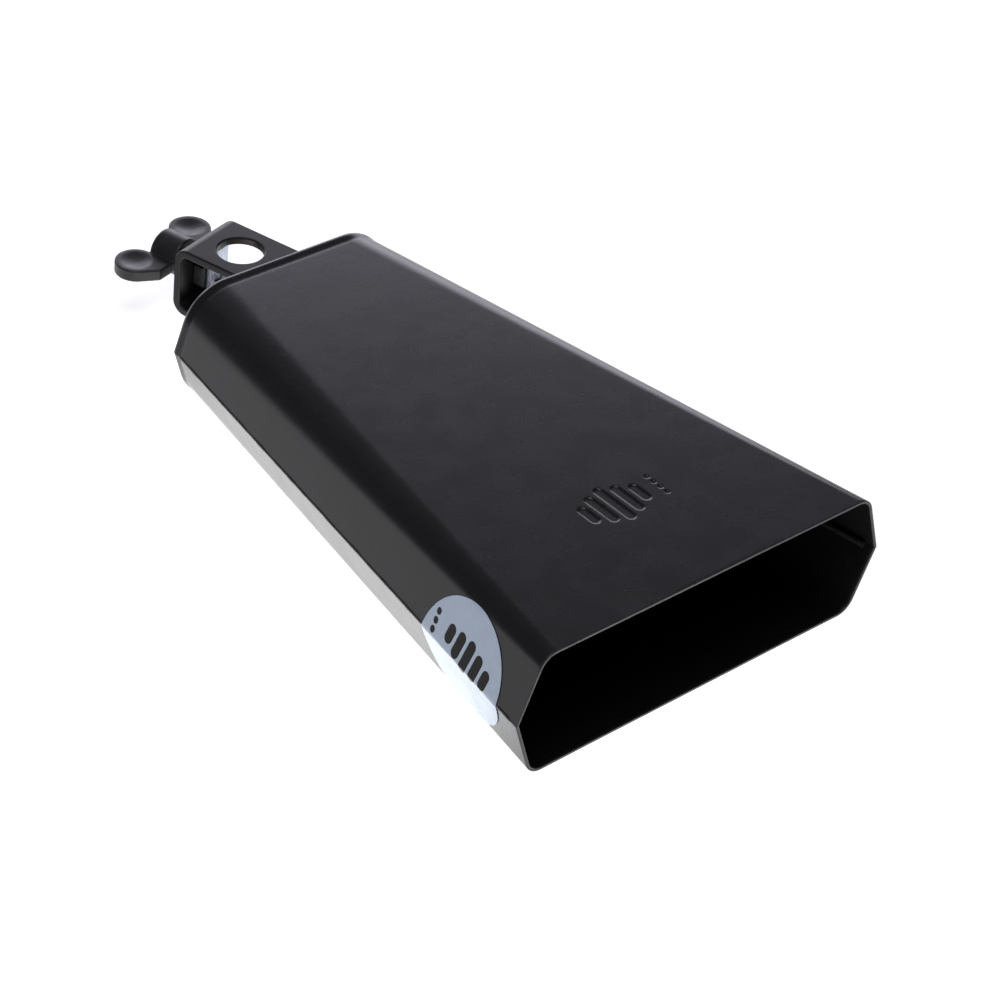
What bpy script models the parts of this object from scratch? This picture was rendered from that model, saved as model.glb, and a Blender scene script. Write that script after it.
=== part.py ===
"""Mountable cowbell: two pressed half-shells and a welded strap clamp with a wing screw.

Units are metres, +Z is up. The bell lies on its lower face at z = 0, with its mouth
towards -Y and the clamp towards +Y. The origin is under the middle of the bell.
"""
import math

import bmesh
import bpy
from mathutils import Matrix, Vector

# Bell body. The flats are measured between virtual corners, the widths from seam to seam.
BELL_LENGTH = 0.216
SHEET = 0.0012
MOUTH_FLAT = 0.140
MOUTH_WIDTH = 0.157
MOUTH_HEIGHT = 0.047
END_FLAT = 0.077
END_WIDTH = 0.0915
END_HEIGHT = 0.0455
MOUTH_BEND = 0.007
END_BEND = 0.018
END_FOLD = 0.002
BEND_LIMIT = 0.8

# Gap that touching pieces keep, and how far a rough edge runs past its trimming cut.
GAP = 0.0003
OVERRUN = 0.004

# Weld beads.
SEAM_BEAD_RADIUS = 0.0011
SEAM_BEAD_SETBACK = 0.003
BRACKET_BEAD_RADIUS = 0.0015

# Clamp bracket: a strap bent to a U, turned on the closed end.
BRACKET_YAW = math.radians(14.9)
BRACKET_SHIFT = 0.0046
STRAP_WIDTH = 0.028
STRAP_THICKNESS = 0.003
STRAP_BEND = 0.0054
BRACKET_DEPTH = 0.0407
BRACKET_HEIGHT = 0.027
ROD_HOLE_RADIUS = 0.0083
ROD_HOLE_DEPTH = 0.0222

# Wing screw: M8 thread with a 1.25 mm pitch.
SCREW_RADIUS = 0.004
SCREW_CLEARANCE = 0.0004
NUT_ACROSS_FLATS = 0.013
NUT_THICKNESS = 0.004
SCREW_TRAVEL = 0.005
SCREW_GRIP = 0.008
NECK_RADIUS = 0.0025
STAKE_RADIUS = 0.0031
STAKE_THICKNESS = 0.0008

# Pressure plate, held on the screw's neck and kept upright by the strap.
PLATE_WIDTH = 0.009
PLATE_THICKNESS = 0.0022
PLATE_POCKET = 0.0012
PLATE_CLEARANCE = 0.0004

# Wing head.
HUB_RADIUS = 0.0073
HUB_LENGTH = 0.0114
HUB_ROUNDING = 0.0012
WING_THICKNESS = 0.0044
WING_DROP = 0.0006
WING_BASE_HALF = 0.0145
WING_PAD_RADIUS = 0.0077
WING_PAD_REACH = 0.0152
WING_PAD_ADVANCE = 0.0106
DISH_RADIUS = 0.0052
DISH_DEPTH = 0.0009

# Round label, wrapped over the left seam.
LABEL_RADIUS = 0.0215
LABEL_FROM_MOUTH = 0.0347
LABEL_DROP = 0.0036
LABEL_THICKNESS = 0.00025

# Finishes as (colour, roughness, metallic).
POWDER_COAT = ((0.010, 0.010, 0.012), 0.30, 0.0)
COATED_WELD = ((0.012, 0.012, 0.013), 0.45, 0.0)
MOULDED_BLACK = ((0.016, 0.016, 0.018), 0.42, 0.0)
LABEL_FILM = ((0.55, 0.62, 0.72), 0.35, 0.0)
BRIGHT_ZINC = ((0.64, 0.66, 0.70), 0.22, 1.0)
SHARP_ANGLE = math.radians(25)

# Smoothness.
BODY_STEPS = 16
BEND_STEPS = 10
FOLD_STEPS = 5
STRAP_STEPS = 8
HOLE_SIDES = 48
TURN_STEPS = 40
PAD_STEPS = 24
ROUNDING_STEPS = 4
DISH_STEPS = 48

MOUTH_Y = -BELL_LENGTH / 2
END_Y = BELL_LENGTH / 2
MID_SLOPE = (END_HEIGHT - MOUTH_HEIGHT) / 2 / BELL_LENGTH
NUT_FACE = BRACKET_DEPTH - STRAP_THICKNESS - GAP
PLATE_BACK = NUT_FACE - NUT_THICKNESS - GAP
PLATE_FRONT = PLATE_BACK - PLATE_THICKNESS
HUB_BASE = BRACKET_DEPTH + GAP + SCREW_TRAVEL


def clear_scene():
    for item in list(bpy.data.objects):
        bpy.data.objects.remove(item, do_unlink=True)


def make_collection(name):
    group = bpy.data.collections.new(name)
    bpy.context.scene.collection.children.link(group)
    return group


def blend(start, finish, share):
    return start + (finish - start) * share


def middle_height(y):
    """Height of the seam plane at a station along the bell."""
    return MOUTH_HEIGHT / 2 + MID_SLOPE * (y - MOUTH_Y)


def add_object(name, data, group, parent=None):
    item = bpy.data.objects.new(name, data)
    group.objects.link(item)
    item.parent = parent
    return item


def mesh_object(name, bm, group, parent=None):
    mesh = bpy.data.meshes.new(name)
    bm.to_mesh(mesh)
    bm.free()
    return add_object(name, mesh, group, parent)


def cutter(name, bm, parent=None):
    item = mesh_object(name, bm, CUTTERS, parent)
    item.hide_render = True
    item.display_type = "WIRE"
    return item


def boolean(item, other, operation):
    mod = item.modifiers.new(operation.lower() + "_" + other.name, "BOOLEAN")
    mod.operation = operation
    mod.object = other
    mod.solver = "EXACT"


def finish(item, look):
    """Give an object its own material; meshes are shaded smooth between sharp edges."""
    colour, roughness, metallic = look
    material = bpy.data.materials.new(item.name)
    material.use_nodes = True
    shader = material.node_tree.nodes["Principled BSDF"]
    shader.inputs["Base Color"].default_value = (*colour, 1.0)
    shader.inputs["Roughness"].default_value = roughness
    shader.inputs["Metallic"].default_value = metallic
    item.data.materials.append(material)
    if item.type == "MESH":
        item.data.shade_smooth()
        item.data.set_sharp_from_angle(angle=SHARP_ANGLE)


def cylinder_bmesh(radius, length, axis, centre, sides=HOLE_SIDES):
    """A closed cylinder about the given axis, centred on a point."""
    bm = bmesh.new()
    turn = Vector((0, 0, 1)).rotation_difference(Vector(axis)).to_matrix().to_4x4()
    bmesh.ops.create_cone(
        bm, cap_ends=True, segments=sides, radius1=radius, radius2=radius,
        depth=length, matrix=Matrix.Translation(centre) @ turn)
    return bm


def turned_object(name, profile, group, parent):
    """A solid turned about its local Z from (radius, height) points, top to bottom."""
    mesh = bpy.data.meshes.new(name)
    points = [(radius, 0, height) for radius, height in profile]
    edges = [(i, i + 1) for i in range(len(points) - 1)]
    mesh.from_pydata(points, edges, [])
    item = add_object(name, mesh, group, parent)
    mod = item.modifiers.new("turn", "SCREW")
    mod.steps = TURN_STEPS
    mod.render_steps = TURN_STEPS
    mod.use_merge_vertices = True
    mod.merge_threshold = 0.00001
    return item


def bead(name, start, end, radius):
    """A straight weld bead between two points."""
    curve = bpy.data.curves.new(name, "CURVE")
    curve.dimensions = "3D"
    curve.bevel_depth = radius
    curve.bevel_resolution = 3
    curve.use_fill_caps = True
    spline = curve.splines.new("POLY")
    spline.points.add(1)
    spline.points[0].co = (*start, 1)
    spline.points[1].co = (*end, 1)
    return add_object(name, curve, COWBELL)


# ---------------------------------------------------------------- bell body

def side_lean(share):
    """How far a side panel leans in for each unit of height."""
    width = blend(MOUTH_WIDTH, END_WIDTH, share)
    flat = blend(MOUTH_FLAT, END_FLAT, share)
    height = blend(MOUTH_HEIGHT, END_HEIGHT, share)
    return (width - flat) / height


def side_offset(share, inset, rise):
    """Distance from the middle to a side panel that is inset, at a rise over the seam."""
    lean = side_lean(share)
    half_width = blend(MOUTH_WIDTH, END_WIDTH, share) / 2
    return half_width - lean * rise - inset * math.hypot(1, lean)


def half_bend(share):
    """Half the angle that the sheet turns through between a side panel and a flat."""
    return (math.pi / 2 - math.atan(side_lean(share))) / 2


def panel_length(share):
    """Length of a side panel from the seam to the virtual corner."""
    return blend(MOUTH_HEIGHT, END_HEIGHT, share) / 2 * math.hypot(1, side_lean(share))


def bend_radius(share, inset):
    """The bend's radius, no larger than its panel has room for."""
    room = BEND_LIMIT * panel_length(share) / math.tan(half_bend(share))
    return min(blend(MOUTH_BEND, END_BEND, share), room) - inset


def half_section(share, inset):
    """Outline of a half-shell, from the right seam over the flat to the left seam."""
    lean = side_lean(share)
    top = blend(MOUTH_HEIGHT, END_HEIGHT, share) / 2 - inset
    radius = bend_radius(share, inset)
    start = math.atan(lean)
    tangent = radius * math.tan(half_bend(share))
    centre_x = side_offset(share, inset, top) - tangent
    centre_z = top - radius
    right = [(side_offset(share, inset, -OVERRUN), -OVERRUN)]
    for step in range(BEND_STEPS + 1):
        angle = blend(start, math.pi / 2, step / BEND_STEPS)
        right.append((centre_x + radius * math.cos(angle), centre_z + radius * math.sin(angle)))
    left = [(-x, z) for x, z in reversed(right)]
    return right + left


def shell_stations():
    """Stations along the bell as (y, inset); the inset grows round the end fold."""
    first = MOUTH_Y - OVERRUN
    last = END_Y - END_FOLD
    stations = [(blend(first, last, step / BODY_STEPS), 0.0) for step in range(BODY_STEPS)]
    for step in range(FOLD_STEPS + 1):
        angle = math.pi / 2 * step / FOLD_STEPS
        stations.append((last + END_FOLD * math.sin(angle), END_FOLD * (1 - math.cos(angle))))
    return stations


def shell_surface(side):
    """Outer surface of the upper (side 1) or lower (side -1) half-shell."""
    bm = bmesh.new()
    rings = []
    for y, inset in shell_stations():
        share = (y - MOUTH_Y) / BELL_LENGTH
        middle = middle_height(y)
        rings.append([bm.verts.new((x, y, middle + side * z)) for x, z in half_section(share, inset)])
    for ring, following in zip(rings, rings[1:]):
        for i in range(len(ring) - 1):
            corners = [ring[i], following[i], following[i + 1], ring[i + 1]]
            bm.faces.new(corners if side > 0 else corners[::-1])
    end = rings[-1]
    bm.faces.new(end[::-1] if side > 0 else end)
    return bm


def keep_zone(name, side):
    """The space on one side of the seam plane and behind the mouth plane."""
    reach = 2 * BELL_LENGTH
    shape = Matrix((
        (reach, 0, 0, 0),
        (0, reach, 0, MOUTH_Y + reach / 2),
        (0, MID_SLOPE * reach, reach,
         middle_height(MOUTH_Y) + MID_SLOPE * reach / 2 + side * (reach + GAP) / 2),
        (0, 0, 0, 1)))
    bm = bmesh.new()
    bmesh.ops.create_cube(bm, size=1, matrix=shape)
    return cutter(name, bm)


def half_shell(name, side):
    shell = mesh_object(name, shell_surface(side), COWBELL)
    wall = shell.modifiers.new("sheet", "SOLIDIFY")
    wall.thickness = SHEET
    wall.offset = -1
    wall.use_even_offset = True
    boolean(shell, keep_zone(name + "_keep_zone", side), "INTERSECT")
    finish(shell, POWDER_COAT)


def seam_beads():
    """Weld beads in the inner corner of each side seam and across the closed end."""
    inset = SHEET + GAP + SEAM_BEAD_RADIUS
    start_y = MOUTH_Y + SEAM_BEAD_SETBACK
    end_y = END_Y - 2 * END_FOLD
    ends = []
    for y in (start_y, end_y):
        share = (y - MOUTH_Y) / BELL_LENGTH
        ends.append(Vector((side_offset(share, inset, 0), y, middle_height(y))))
    for name, side in (("seam_weld_left", -1), ("seam_weld_right", 1)):
        mirror = Vector((side, 1, 1))
        item = bead(name, ends[0] * mirror, ends[1] * mirror, SEAM_BEAD_RADIUS)
        finish(item, COATED_WELD)
    reach = ends[1].x - END_FOLD - SEAM_BEAD_RADIUS
    y = END_Y - inset
    z = middle_height(y)
    item = bead("seam_weld_end", (-reach, y, z), (reach, y, z), SEAM_BEAD_RADIUS)
    finish(item, COATED_WELD)


# ---------------------------------------------------------------- round label

def panel_frame(side):
    """Direction up (side 1) or down (side -1) the left panel, and its outward normal."""
    seam_start = Vector((-MOUTH_WIDTH / 2, MOUTH_Y, middle_height(MOUTH_Y)))
    seam_end = Vector((-END_WIDTH / 2, END_Y, middle_height(END_Y)))
    along = (seam_end - seam_start).normalized()
    flat_start = Vector((-MOUTH_FLAT / 2, MOUTH_Y, middle_height(MOUTH_Y) + side * MOUTH_HEIGHT / 2))
    across = flat_start - seam_start
    across = (across - along * across.dot(along)).normalized()
    normal = across.cross(along).normalized() * side
    return seam_start, along, across, normal


def round_label():
    """A round film folded over the seam, trimmed where the panels' bends begin."""
    seam_start, along, up, normal_up = panel_frame(1)
    down, normal_down = panel_frame(-1)[2:]
    lift = (normal_up + normal_down) * (GAP / (1 + normal_up.dot(normal_down)))
    half_angle = math.acos(LABEL_DROP / LABEL_RADIUS)
    share = LABEL_FROM_MOUTH / BELL_LENGTH
    flat_reach = panel_length(share) - bend_radius(share, 0) * math.tan(half_bend(share))
    bm = bmesh.new()

    def place(angle):
        forward = LABEL_FROM_MOUTH + LABEL_RADIUS * math.sin(angle)
        rise = LABEL_RADIUS * math.cos(angle) - LABEL_DROP
        rise = max(-flat_reach, min(flat_reach, rise))
        across = up * rise if rise > 0 else down * -rise
        return seam_start + along * forward + across + lift

    def arc(start, stop):
        return [bm.verts.new(place(blend(start, stop, i / PAD_STEPS))) for i in range(PAD_STEPS + 1)]

    upper = arc(-half_angle, half_angle)
    lower = arc(half_angle, 2 * math.pi - half_angle)[1:-1]
    faces = [bm.faces.new(upper), bm.faces.new([upper[0], upper[-1]] + lower)]
    for face, outward in zip(faces, (normal_up, normal_down)):
        face.normal_update()
        if face.normal.dot(outward) < 0:
            face.normal_flip()
    label = mesh_object("round_label", bm, COWBELL)
    film = label.modifiers.new("film", "SOLIDIFY")
    film.thickness = LABEL_THICKNESS
    film.offset = 1
    film.use_even_offset = True
    finish(label, LABEL_FILM)


# ---------------------------------------------------------------- clamp

def clamp_frame():
    """Empty at the closed end; its +Y is the wing screw's axis, pointing outwards."""
    empty = add_object("clamp_frame", None, COWBELL)
    empty.location = (BRACKET_SHIFT, END_Y, middle_height(END_Y))
    empty.rotation_euler = (0, 0, BRACKET_YAW)
    return empty


def strap_path():
    """Outer side of the bent strap as (y, z), from the upper leg to the lower one."""
    half = BRACKET_HEIGHT / 2
    start = -STRAP_WIDTH
    points = [(start, half)]
    for centre_z, first in ((half - STRAP_BEND, math.pi / 2), (STRAP_BEND - half, 0)):
        for step in range(STRAP_STEPS + 1):
            angle = first - math.pi / 2 * step / STRAP_STEPS
            points.append((BRACKET_DEPTH - STRAP_BEND + STRAP_BEND * math.cos(angle),
                           centre_z + STRAP_BEND * math.sin(angle)))
    points.append((start, -half))
    return points


def clamp_bracket(frame):
    bm = bmesh.new()
    half = STRAP_WIDTH / 2
    edges = [[bm.verts.new((x, y, z)) for y, z in strap_path()] for x in (-half, half)]
    for i in range(len(edges[0]) - 1):
        bm.faces.new((edges[0][i], edges[1][i], edges[1][i + 1], edges[0][i + 1]))
    bracket = mesh_object("clamp_bracket", bm, COWBELL, frame)
    strap = bracket.modifiers.new("strap", "SOLIDIFY")
    strap.thickness = STRAP_THICKNESS
    strap.offset = -1
    strap.use_even_offset = True

    rod = cylinder_bmesh(ROD_HOLE_RADIUS, 2 * BRACKET_HEIGHT, (0, 0, 1), (0, ROD_HOLE_DEPTH, 0))
    boolean(bracket, cutter("rod_hole_cutter", rod, frame), "DIFFERENCE")
    screw = cylinder_bmesh(SCREW_RADIUS + SCREW_CLEARANCE, 4 * STRAP_THICKNESS, (0, 1, 0),
                           (0, BRACKET_DEPTH - STRAP_THICKNESS / 2, 0))
    boolean(bracket, cutter("screw_hole_cutter", screw, frame), "DIFFERENCE")

    reach = 4 * STRAP_WIDTH
    bm = bmesh.new()
    bmesh.ops.create_cube(bm, size=reach, matrix=Matrix.Translation(
        (0, END_Y + GAP - reach / 2, middle_height(END_Y))))
    boolean(bracket, cutter("end_wall_cutter", bm), "DIFFERENCE")
    finish(bracket, POWDER_COAT)


def bracket_beads():
    """Fillet beads along the strap's two ends, on the closed end's face."""
    reach = STRAP_WIDTH / 2 / math.cos(BRACKET_YAW)
    y = END_Y + GAP + BRACKET_BEAD_RADIUS
    for name, side in (("bracket_weld_upper", 1), ("bracket_weld_lower", -1)):
        rise = BRACKET_HEIGHT / 2 + GAP + BRACKET_BEAD_RADIUS
        z = middle_height(END_Y) + side * rise
        item = bead(name, (BRACKET_SHIFT - reach, y, z), (BRACKET_SHIFT + reach, y, z),
                    BRACKET_BEAD_RADIUS)
        finish(item, COATED_WELD)


def weld_nut(frame):
    """Hex nut on the inner face of the strap's end wall."""
    corner_radius = NUT_ACROSS_FLATS / 2 / math.cos(math.pi / 6)
    bm = cylinder_bmesh(corner_radius, NUT_THICKNESS, (0, 1, 0),
                        (0, NUT_FACE - NUT_THICKNESS / 2, 0), sides=6)
    nut = mesh_object("weld_nut", bm, COWBELL, frame)
    bore = cylinder_bmesh(SCREW_RADIUS + GAP, 3 * NUT_THICKNESS, (0, 1, 0),
                          (0, NUT_FACE - NUT_THICKNESS / 2, 0))
    boolean(nut, cutter("nut_bore_cutter", bore, frame), "DIFFERENCE")
    finish(nut, COATED_WELD)


def clamp_screw(frame):
    """Threaded stud with a neck and a staked tip; its origin is at the hub's base."""
    shoulder = PLATE_BACK + GAP - HUB_BASE
    pocket_floor = PLATE_FRONT + PLATE_POCKET - GAP - HUB_BASE
    profile = [
        (0, SCREW_GRIP),
        (SCREW_RADIUS, SCREW_GRIP),
        (SCREW_RADIUS, shoulder),
        (NECK_RADIUS, shoulder),
        (NECK_RADIUS, pocket_floor),
        (STAKE_RADIUS, pocket_floor),
        (STAKE_RADIUS, pocket_floor - STAKE_THICKNESS),
        (0, pocket_floor - STAKE_THICKNESS),
    ]
    screw = turned_object("clamp_screw", profile, COWBELL, frame)
    screw.location = (0, HUB_BASE, 0)
    screw.rotation_euler = (-math.pi / 2, 0, 0)
    finish(screw, BRIGHT_ZINC)


def pressure_plate(frame):
    """Upright plate that the screw pushes against the rod."""
    height = BRACKET_HEIGHT - 2 * (STRAP_THICKNESS + PLATE_CLEARANCE)
    centre = (0, (PLATE_BACK + PLATE_FRONT) / 2, 0)
    size = Matrix.Diagonal((PLATE_WIDTH, PLATE_THICKNESS, height, 1))
    bm = bmesh.new()
    bmesh.ops.create_cube(bm, size=1, matrix=Matrix.Translation(centre) @ size)
    plate = mesh_object("pressure_plate", bm, COWBELL, frame)
    hole = cylinder_bmesh(NECK_RADIUS + GAP, 3 * PLATE_THICKNESS, (0, 1, 0), centre)
    boolean(plate, cutter("neck_hole_cutter", hole, frame), "DIFFERENCE")
    pocket = cylinder_bmesh(STAKE_RADIUS + GAP, 2 * PLATE_POCKET, (0, 1, 0), (0, PLATE_FRONT, 0))
    boolean(plate, cutter("stake_pocket_cutter", pocket, frame), "DIFFERENCE")
    finish(plate, BRIGHT_ZINC)


def wing_outline():
    """Plan outline of both wings: a straight base and a round pad on each side."""
    corner = Vector((WING_BASE_HALF, 0))
    centre = Vector((WING_PAD_REACH, WING_PAD_ADVANCE))
    away = corner - centre
    swing = math.acos(WING_PAD_RADIUS / away.length)
    start = math.atan2(away.y, away.x) + swing
    right = [corner]
    for step in range(PAD_STEPS + 1):
        angle = blend(start, math.pi, step / PAD_STEPS)
        right.append(centre + WING_PAD_RADIUS * Vector((math.cos(angle), math.sin(angle))))
    left = [Vector((-p.x, p.y)) for p in reversed(right)]
    return right + left


def wing_plate(frame):
    """Both wings as one flat plate, turned from a filled curve into a closed mesh."""
    curve = bpy.data.curves.new("wing_plate", "CURVE")
    curve.dimensions = "2D"
    curve.fill_mode = "BOTH"
    curve.extrude = WING_THICKNESS / 2
    outline = wing_outline()
    spline = curve.splines.new("POLY")
    spline.points.add(len(outline) - 1)
    for point, place in zip(spline.points, outline):
        point.co = (place.x, place.y, 0, 1)
    spline.use_cyclic_u = True
    item = add_object("wing_plate_curve", curve, CUTTERS, frame)
    bpy.context.view_layer.update()
    graph = bpy.context.evaluated_depsgraph_get()
    mesh = bpy.data.meshes.new_from_object(item.evaluated_get(graph))
    bpy.data.objects.remove(item, do_unlink=True)
    bm = bmesh.new()
    bm.from_mesh(mesh)
    bpy.data.meshes.remove(mesh)
    bmesh.ops.remove_doubles(bm, verts=bm.verts, dist=0.000001)
    bmesh.ops.recalc_face_normals(bm, faces=bm.faces)
    bmesh.ops.translate(bm, verts=bm.verts, vec=(0, HUB_BASE, -WING_DROP))
    return cutter("wing_plate", bm, frame)


def hub_profile():
    """Hub from its rounded outer end to its base, with a blind bore for the stud."""
    points = [(0, HUB_LENGTH)]
    for step in range(ROUNDING_STEPS + 1):
        angle = math.pi / 2 * (1 - step / ROUNDING_STEPS)
        points.append((HUB_RADIUS - HUB_ROUNDING * (1 - math.cos(angle)),
                       HUB_LENGTH - HUB_ROUNDING * (1 - math.sin(angle))))
    bore = SCREW_RADIUS + GAP
    points += [(HUB_RADIUS, 0), (bore, 0), (bore, SCREW_GRIP + GAP), (0, SCREW_GRIP + GAP)]
    return points


def wing_head(frame):
    head = turned_object("wing_head", hub_profile(), COWBELL, frame)
    head.location = (0, HUB_BASE, 0)
    head.rotation_euler = (-math.pi / 2, 0, 0)
    boolean(head, wing_plate(frame), "UNION")
    bore = cylinder_bmesh(SCREW_RADIUS + GAP, 2 * (SCREW_GRIP + GAP), (0, 1, 0), (0, HUB_BASE, 0))
    boolean(head, cutter("stud_bore_cutter", bore, frame), "DIFFERENCE")
    ball = (DISH_RADIUS ** 2 + DISH_DEPTH ** 2) / (2 * DISH_DEPTH)
    for side in (-1, 1):
        for face in (-1, 1):
            bm = bmesh.new()
            bmesh.ops.create_uvsphere(
                bm, u_segments=DISH_STEPS, v_segments=DISH_STEPS, radius=ball,
                matrix=Matrix.Translation((side * WING_PAD_REACH, HUB_BASE + WING_PAD_ADVANCE,
                                           face * (WING_THICKNESS / 2 + ball - DISH_DEPTH) - WING_DROP)))
            name = "dish_cutter_" + ("r" if side > 0 else "l") + ("_top" if face > 0 else "_under")
            boolean(head, cutter(name, bm, frame), "DIFFERENCE")
    finish(head, MOULDED_BLACK)


clear_scene()
COWBELL = make_collection("cowbell")
CUTTERS = make_collection("cutters")

half_shell("upper_shell", 1)
half_shell("lower_shell", -1)
seam_beads()
round_label()

CLAMP = clamp_frame()
clamp_bracket(CLAMP)
bracket_beads()
weld_nut(CLAMP)
clamp_screw(CLAMP)
pressure_plate(CLAMP)
wing_head(CLAMP)
bpy.context.view_layer.update()
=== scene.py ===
import math

import bmesh
import bpy
import numpy as np
from mathutils import Matrix, Vector, noise


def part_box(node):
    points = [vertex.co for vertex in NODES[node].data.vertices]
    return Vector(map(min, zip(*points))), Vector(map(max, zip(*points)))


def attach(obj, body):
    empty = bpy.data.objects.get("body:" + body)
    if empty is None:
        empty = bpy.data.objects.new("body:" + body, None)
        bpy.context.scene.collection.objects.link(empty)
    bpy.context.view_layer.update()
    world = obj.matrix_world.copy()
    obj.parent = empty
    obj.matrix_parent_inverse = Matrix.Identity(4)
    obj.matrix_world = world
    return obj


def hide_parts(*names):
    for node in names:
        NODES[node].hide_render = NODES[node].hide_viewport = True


# Bell body, in metres. The flats are measured between virtual corners.
BELL_LENGTH = 0.216
SHEET = 0.0012
MOUTH_FLAT, MOUTH_WIDTH, MOUTH_HEIGHT, MOUTH_BEND = 0.140, 0.157, 0.047, 0.007
END_FLAT, END_WIDTH, END_HEIGHT, END_BEND = 0.077, 0.0915, 0.0455, 0.018
END_FOLD = 0.002
RIM_ROUNDING = 0.00035
LIP_RISE, LIP_SPREAD = 0.00042, 0.0018
CREASE_BACK, CREASE_DEPTH, CREASE_SPREAD = 0.0050, 0.00008, 0.0010
SEAM_HAIRLINE = 0.00004
BEND_LIMIT = 0.8
FLAT_HALF = 0.0225

# Fineness of the bell's mesh, and the lengths that get their own rows.
BEND_STEPS, PANEL_STEPS, TOP_STEPS = 19, 9, 8
BODY_ROWS, INNER_ROWS, LIP_ROWS = 44, 14, 19
ROUNDING_STEPS = 5
RIM_LENGTH, LIP_ZONE = 0.0012, 0.0062
PLAIN_FLAT_COLUMNS = 16
# How far in from the mouth the painted shade inside the bell starts.
PAINTED_SHADE_FROM_RIM = 0.0010

# Lighter colour at the bell's mouth rim, partly coat wear and partly painted highlight, a painted
# highlight strip along the closed end's fold, and slight unevenness of the bell's sheet.
RIM_WEAR_AND_HIGHLIGHT_LENGTH, FOLD_HIGHLIGHT_LENGTH, FOLD_HIGHLIGHT = 0.0005, 0.0012, 0.35
DRIFT_SCALE, DRIFT, DRIFT_FREE_HEIGHT = 18, 0.00004, 0.004

# Ridge of weld and coat over the side seams.
RIDGE_ROWS, RIDGE_SIDES = 420, 10
RIDGE_SIZE, RIDGE_SWELL, RIDGE_GRAIN, RIDGE_SHIFT = 0.00050, 0.00010, 0.00003, 0.00016
RIDGE_SUNK, RIDGE_FADE, RIDGE_TALL = 0.00028, 0.002, 1.35
RIDGE_UNDER_LABEL = 0.45
RIDGE_FROM_MOUTH, RIDGE_FROM_END = 0.002, 0.001

# Bracket weld beads.
BEAD_ROWS, BEAD_SIDES = 160, 18
BEAD_RIPPLE, BEAD_RIPPLE_PITCH, BEAD_LUMPS = 0.07, 0.0011, 0.18

# Clamp.
BRACKET_YAW = math.radians(14.9)
BRACKET_SHIFT = 0.0046
STRAP_WIDTH, STRAP_THICKNESS, STRAP_BEND = 0.028, 0.003, 0.0054
BRACKET_DEPTH, BRACKET_HEIGHT = 0.0407, 0.027
ROD_HOLE_RADIUS, ROD_HOLE_DEPTH = 0.0083, 0.0222
SCREW_HOLE_RADIUS = 0.0044
THREAD_RADIUS, THREAD_ROOT, THREAD_PITCH = 0.0040, 0.0034, 0.00125
HUB_BASE, HUB_RADIUS, HUB_LENGTH = 0.0460, 0.0073, 0.0114
WING_THICKNESS, WING_DROP, WING_BASE_HALF = 0.0044, 0.0006, 0.0145
PAD_RADIUS, PAD_REACH, PAD_ADVANCE = 0.0077, 0.0152, 0.0106
DISH_RADIUS, DISH_DEPTH = 0.0060, 0.0009
STRAP_EDGE = 0.0007
STUD_TIP, STUD_SHOULDER, STUD_TOP = -0.0142, -0.0128, 0.0070
STUD_NECK_RADIUS, STUD_TIP_RADIUS, STUD_TIP_LENGTH = 0.0025, 0.0029, 0.0009
STUD_SIDES, THREAD_STEPS, THREAD_LEAD = 48, 9, 0.0012
AXIS_RADIUS = 0.0005
HUB_SIDES, PAD_STEPS = 72, 40
CASTING_VOXEL, CASTING_SMOOTHING = 0.00030, 9
CAD_EDGE = 0.0003

# Label and pressed mark.
LABEL_RADIUS, LABEL_FROM_MOUTH, LABEL_DROP = 0.0213, 0.0324, 0.0010
LABEL_LIFT, LABEL_FILM = 0.00016, 0.00010
MARK_CENTRE = Vector((-0.0015, -0.0640))
MARK_DEPTH = 0.00042
MARK_EDGE = 0.00045
MARK_STEP = 0.00032
MARK_REACH = (0.024, 0.012)
MARK_FLAT_END, MARK_ROWS_HALF = -0.0165, 0.0105
LABEL_RINGS, LABEL_SPOKES = 34, 144

# The label's print: bars along a line that is turned a little, and a row of dots.
PRINT_TURN = math.radians(8)
PRINT_CENTRE = Vector((0.0300, 0.0042))
PRINT_SPREAD, PRINT_BAR_RADIUS = 0.0052, 0.0019
PRINT_BARS = ((-2, 0.0034), (-1, 0.0047), (0, 0.0058), (1, 0.0047), (2, 0.0034))
PRINT_DOTS = [(0.0484, rise) for rise in (0.0084, 0.0052, 0.0020)]
PRINT_DOT_HALF, PRINT_DOT_RADIUS = 0.0012, 0.0011
PRINT_ABOVE_FILM = 0.00004
PRINT_COLUMNS, PRINT_ROWS, PRINT_CAP_ROWS = 14, 22, 12

# Meshes are shaded smooth below these angles, in radians.
SHARP_SHEET, SHARP_THREAD = math.radians(50), math.radians(40)

# Photo camera: angles in degrees, distances in metres.
CAMERA_AZIMUTH, CAMERA_ELEVATION, CAMERA_ROLL = -44.66, 35.91, 6.64
CAMERA_TARGET, CAMERA_DISTANCE = Vector((0, 0, 0.022)), 1.0214
CAMERA_LENS, CAMERA_SENSOR = 111.17, 36.0
CAMERA_SHIFT = (0.0217, -0.0358)

# Studio. The floor is just under the closed end's lip.
FLOOR_HEIGHT = -0.0006
# The table's glow as (level, start of its fall, end of its fall), with TABLE_FAR beyond.
TABLE_SQUEEZE = 1.6
TABLE_HOT = (1.35, 0.11, 0.175)
TABLE_WIDE = (0.30, 0.60, 1.30)
TABLE_FAR = 0.38
FLOOR_HALF = 8.0

MOUTH_Y = -BELL_LENGTH / 2
END_Y = BELL_LENGTH / 2
MID_SLOPE = (END_HEIGHT - MOUTH_HEIGHT) / 2 / BELL_LENGTH

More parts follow.
